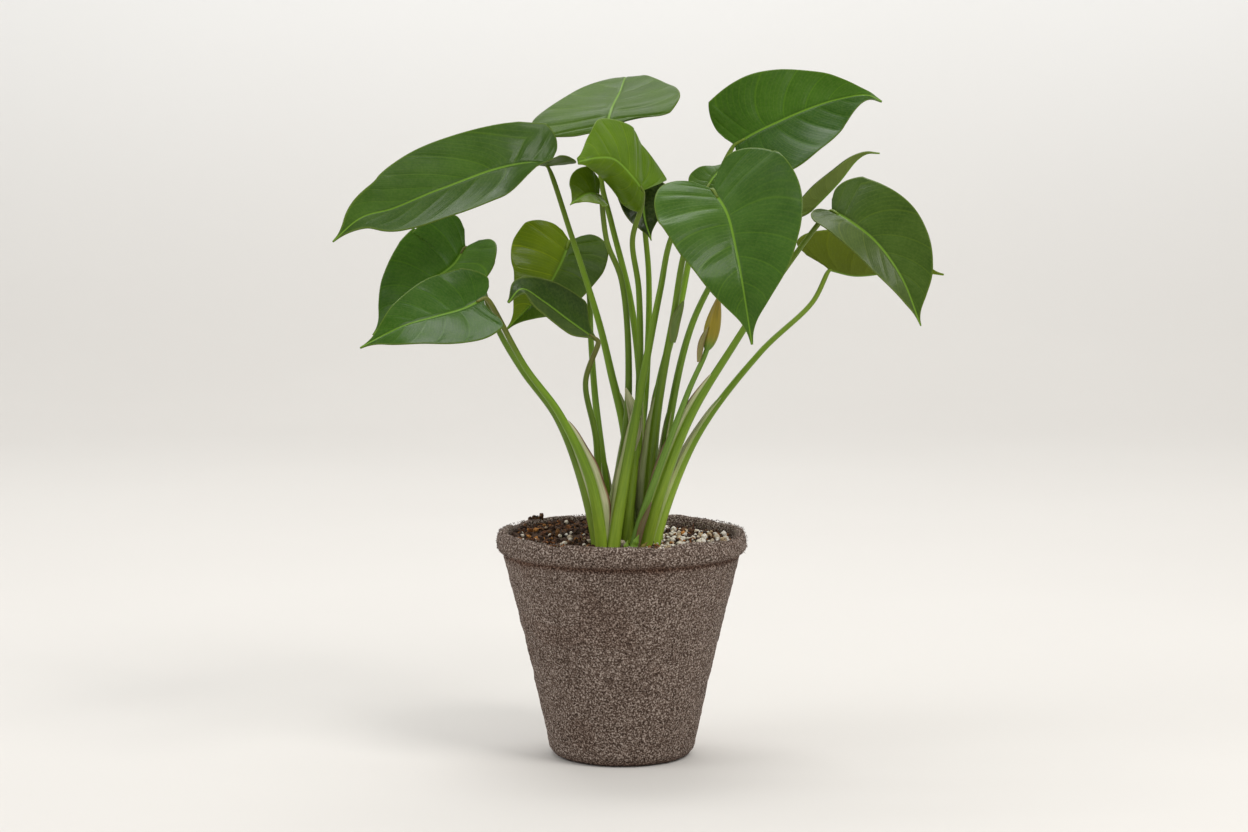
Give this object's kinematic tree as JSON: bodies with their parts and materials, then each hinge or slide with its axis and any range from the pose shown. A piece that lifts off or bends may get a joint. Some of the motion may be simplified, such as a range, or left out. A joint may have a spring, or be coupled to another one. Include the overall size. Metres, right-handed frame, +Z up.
{
  "type": "potted philodendron",
  "caption": "Young philodendron with heart-shaped leaves on slender petioles, standing in soil in a tapered moulded-fibre nursery pot with a rolled rim.",
  "frame": {"origin": "centre of the pot's flat base, on the surface it stands on", "axes": "+Z up along the pot's axis; -Y is the front of the plant, +X its right"},
  "size_m": [0.2935, 0.1451, 0.3296],
  "materials": {
    "fibre": "rough moulded grey-brown fibre",
    "soil": "moist dark peat mix",
    "perlite": "matt white grains",
    "leaf": "waxy, half gloss",
    "petiole": "smooth, half gloss"
  },
  "bodies": {
    "root": {"pot": "fibre", "soil": "soil", "leaf_01": "leaf", "leaf_02": "leaf", "leaf_03": "leaf", "leaf_04": "leaf", "leaf_05": "leaf", "leaf_06": "leaf", "leaf_07": "leaf", "leaf_08": "leaf", "leaf_09": "leaf", "leaf_10": "leaf", "leaf_11": "leaf", "leaf_12": "leaf", "leaf_13": "leaf", "leaf_14": "leaf", "leaf_15": "leaf", "petiole_01": "petiole", "petiole_02": "petiole", "petiole_03": "petiole", "petiole_04": "petiole", "petiole_05": "petiole", "petiole_06": "petiole", "petiole_07": "petiole", "petiole_08": "petiole", "petiole_09": "petiole", "petiole_10": "petiole", "petiole_11": "petiole", "petiole_12": "petiole", "petiole_13": "petiole", "petiole_14": "petiole", "petiole_15": "petiole", "rolled_leaf": "petiole", "sprout": "petiole", "perlite_01": "perlite", "perlite_02": "perlite", "perlite_03": "perlite", "perlite_04": "perlite", "perlite_05": "perlite", "perlite_06": "perlite", "perlite_07": "perlite", "perlite_08": "perlite", "perlite_09": "perlite", "perlite_10": "perlite", "perlite_11": "perlite", "perlite_12": "perlite", "perlite_13": "perlite", "perlite_14": "perlite"}
  },
  "joints": []
}
